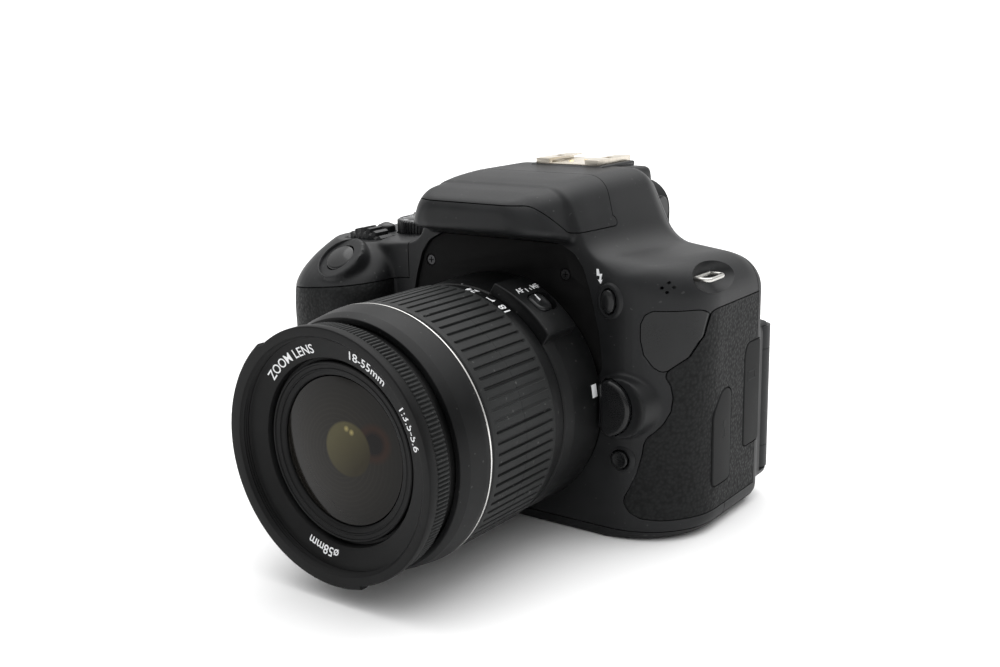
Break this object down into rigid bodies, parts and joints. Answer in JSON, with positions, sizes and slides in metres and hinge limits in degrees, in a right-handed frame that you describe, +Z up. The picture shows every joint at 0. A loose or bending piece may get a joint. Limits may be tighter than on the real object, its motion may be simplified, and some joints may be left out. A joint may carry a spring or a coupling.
{
  "type": "dslr camera with zoom lens",
  "caption": "Black digital single-lens reflex camera with a standard zoom lens, pop-up flash, swing-out rear screen, rubber grip, dials, buttons, port covers and hot shoe.",
  "frame": {"origin": "on the base's flat underside below the lens axis, 12 mm behind the lens mount's front face", "axes": "+X towards the side with the port covers (right in a front view), +Y back along the lens axis, +Z up"},
  "size_m": [0.1336, 0.1383, 0.0995],
  "materials": {
    "shell_plastic": "fine matte grain",
    "rubber_skin": "leathery texture",
    "lens_plastic": "smooth satin",
    "grip_rubber": "ribbed",
    "button_plastic": "semi-gloss",
    "bright_metal": "bright",
    "dark_metal": "blackened",
    "optical_glass": "coated",
    "screen_glass": "dark glossy",
    "clear_window": "frosted",
    "circuit_board": "solder mask",
    "battery_case": "moulded"
  },
  "bodies": {
    "body": {"front_cover": "shell_plastic", "top_cover": "shell_plastic", "rear_cover": "shell_plastic", "base_cover": "shell_plastic", "front_plate": "shell_plastic", "mirror_box": "shell_plastic", "side_rubber": "rubber_skin", "grip_rubber": "rubber_skin", "thumb_rubber": "rubber_skin", "name_badge": "lens_plastic", "lens_barrel": "lens_plastic", "eyecup": "grip_rubber", "mount_ring": "bright_metal", "tripod_socket": "bright_metal", "hot_shoe": "bright_metal", "strap_loop_left": "bright_metal", "strap_loop_right": "bright_metal", "shutter_unit": "dark_metal", "pentamirror": "optical_glass", "eyepiece_lens": "optical_glass", "image_sensor": "optical_glass", "timer_lamp": "screen_glass", "main_board": "circuit_board", "battery": "battery_case"},
    "flash": {"flash_lid": "shell_plastic", "flash_lamp": "clear_window"},
    "mirror": {"mirror": "bright_metal"},
    "screen": {"screen_hinge": "shell_plastic", "screen_panel": "shell_plastic", "screen_glass": "screen_glass"},
    "zoom": {"zoom_ring": "lens_plastic", "zoom_rubber": "grip_rubber"},
    "inner_barrel": {"front_barrel": "lens_plastic"},
    "focus": {"focus_ring": "lens_plastic", "front_bezel": "lens_plastic", "front_lens": "optical_glass"},
    "af_switch": {"af_switch": "button_plastic"},
    "mic_port_cover": {"mic_port_cover": "rubber_skin"},
    "video_port_cover": {"video_port_cover": "rubber_skin"},
    "card_door": {"card_door": "shell_plastic"},
    "battery_door": {"battery_door": "shell_plastic"},
    "main_dial": {"main_dial": "button_plastic"},
    "mode_dial": {"mode_dial": "button_plastic"},
    "power_lever": {"power_lever": "button_plastic"},
    "diopter_knob": {"diopter_knob": "button_plastic"},
    "release_button": {"release_button": "button_plastic"},
    "shutter_button": {"shutter_button": "button_plastic"},
    "iso_button": {"iso_button": "button_plastic"},
    "flash_button": {"flash_button": "button_plastic"},
    "preview_button": {"preview_button": "button_plastic"},
    "menu_button": {"menu_button": "button_plastic"},
    "info_button": {"info_button": "button_plastic"},
    "live_view_button": {"live_view_button": "button_plastic"},
    "exposure_button": {"exposure_button": "button_plastic"},
    "cross_pad": {"cross_pad": "button_plastic"},
    "set_button": {"set_button": "button_plastic"},
    "play_button": {"play_button": "button_plastic"},
    "erase_button": {"erase_button": "button_plastic"},
    "lock_button": {"lock_button": "button_plastic"},
    "focus_point_button": {"focus_point_button": "button_plastic"}
  },
  "joints": [
    {"name": "flash_lift", "type": "hinge", "parent": "body", "child": "flash", "pos_m": [0, 0.0205, 0.097], "axis": [-1, 0, 0], "range_deg": [0, 60]},
    {"name": "mirror_swing", "type": "hinge", "parent": "body", "child": "mirror", "pos_m": [0, 0.0174, 0.0522], "axis": [-1, 0, 0], "range_deg": [0, 45]},
    {"name": "screen_swing", "type": "hinge", "parent": "body", "child": "screen", "pos_m": [0.0532, 0.0431, 0.03], "axis": [0, 0, -1], "range_deg": [0, 175]},
    {"name": "zoom_turn", "type": "hinge", "parent": "body", "child": "zoom", "pos_m": [0, -0.012, 0.0378], "axis": [0, 1, 0], "range_deg": [-24, 42]},
    {"name": "barrel_slide", "type": "slide", "parent": "body", "child": "inner_barrel", "axis": [0, -1, 0], "range_m": [-0.0025, 0.0043]},
    {"name": "focus_turn", "type": "hinge", "parent": "inner_barrel", "child": "focus", "pos_m": [0, -0.012, 0.0378], "axis": [0, 1, 0], "range_deg": [-45, 45]},
    {"name": "af_slide", "type": "slide", "parent": "body", "child": "af_switch", "axis": [0, 1, 0], "range_m": [0, 0.0018]},
    {"name": "main_dial_turn", "type": "hinge", "parent": "body", "child": "main_dial", "pos_m": [-0.054, -0.0046, 0.0699], "axis": [0, 1, 0], "continuous": true},
    {"name": "mode_dial_turn", "type": "hinge", "parent": "body", "child": "mode_dial", "pos_m": [-0.0436, 0.0114, 0.0752], "axis": [0, 0, 1], "range_deg": [-150, 150]},
    {"name": "power_turn", "type": "hinge", "parent": "body", "child": "power_lever", "pos_m": [-0.0575, 0.026, 0.0754], "axis": [0, 0, 1], "range_deg": [0, 40]},
    {"name": "diopter_turn", "type": "hinge", "parent": "body", "child": "diopter_knob", "pos_m": [0.0222, 0.039, 0.084], "axis": [1, 0, 0], "range_deg": [-120, 120]},
    {"name": "mic_port_hinge", "type": "hinge", "parent": "body", "child": "mic_port_cover", "pos_m": [0.0579, 0.0176, 0.0265], "axis": [0, 0, 1], "range_deg": [0, 90]},
    {"name": "video_port_hinge", "type": "hinge", "parent": "body", "child": "video_port_cover", "pos_m": [0.0579, 0.0359, 0.0346], "axis": [0, 0, 1], "range_deg": [0, 90]},
    {"name": "card_door_hinge", "type": "hinge", "parent": "body", "child": "card_door", "pos_m": [-0.0756, 0.035, 0.0375], "axis": [0, 0, -1], "range_deg": [0, 100]},
    {"name": "battery_door_hinge", "type": "hinge", "parent": "body", "child": "battery_door", "pos_m": [-0.046, -0.0008, 0.00015], "axis": [0, -1, 0], "range_deg": [0, 90]},
    {"name": "release_press", "type": "slide", "parent": "body", "child": "release_button", "axis": [0, 1, 0], "range_m": [0, 0.002], "stiffness_N_per_m": 300, "springref_m": -0.001},
    {"name": "shutter_press", "type": "slide", "parent": "body", "child": "shutter_button", "axis": [0.16, 0.6201, -0.7681], "range_m": [0, 0.0008], "stiffness_N_per_m": 300, "springref_m": -0.001},
    {"name": "iso_press", "type": "slide", "parent": "body", "child": "iso_button", "axis": [0, 0, -1], "range_m": [0, 0.0008], "stiffness_N_per_m": 300, "springref_m": -0.001},
    {"name": "flash_press", "type": "slide", "parent": "body", "child": "flash_button", "axis": [0, 1, 0], "range_m": [0, 0.0008], "stiffness_N_per_m": 300, "springref_m": -0.001},
    {"name": "preview_press", "type": "slide", "parent": "body", "child": "preview_button", "axis": [0, 1, 0], "range_m": [0, 0.0006], "stiffness_N_per_m": 300, "springref_m": -0.001},
    {"name": "menu_press", "type": "slide", "parent": "body", "child": "menu_button", "axis": [0, -1, 0], "range_m": [0, 0.0005], "stiffness_N_per_m": 300, "springref_m": -0.001},
    {"name": "info_press", "type": "slide", "parent": "body", "child": "info_button", "axis": [0, -1, 0], "range_m": [0, 0.0005], "stiffness_N_per_m": 300, "springref_m": -0.001},
    {"name": "live_view_press", "type": "slide", "parent": "body", "child": "live_view_button", "axis": [0, -1, 0], "range_m": [0, 0.0005], "stiffness_N_per_m": 300, "springref_m": -0.001},
    {"name": "exposure_press", "type": "slide", "parent": "body", "child": "exposure_button", "axis": [0, -1, 0], "range_m": [0, 0.0005], "stiffness_N_per_m": 300, "springref_m": -0.001},
    {"name": "play_press", "type": "slide", "parent": "body", "child": "play_button", "axis": [0, -1, 0], "range_m": [0, 0.0005], "stiffness_N_per_m": 300, "springref_m": -0.001},
    {"name": "erase_press", "type": "slide", "parent": "body", "child": "erase_button", "axis": [0, -1, 0], "range_m": [0, 0.0005], "stiffness_N_per_m": 300, "springref_m": -0.001},
    {"name": "lock_press", "type": "slide", "parent": "body", "child": "lock_button", "axis": [0, -1, 0], "range_m": [0, 0.0005], "stiffness_N_per_m": 300, "springref_m": -0.001},
    {"name": "focus_point_press", "type": "slide", "parent": "body", "child": "focus_point_button", "axis": [0, -1, 0], "range_m": [0, 0.0005], "stiffness_N_per_m": 300, "springref_m": -0.001},
    {"name": "cross_pad_press", "type": "slide", "parent": "body", "child": "cross_pad", "axis": [0, -1, 0], "range_m": [0, 0.0005], "stiffness_N_per_m": 300, "springref_m": -0.001},
    {"name": "set_press", "type": "slide", "parent": "body", "child": "set_button", "axis": [0, -1, 0], "range_m": [0, 0.0008], "stiffness_N_per_m": 300, "springref_m": -0.001}
  ],
  "couplings": [
    {"joint": "barrel_slide", "follows": "zoom_turn", "m_per_rad": 0.00573}
  ]
}
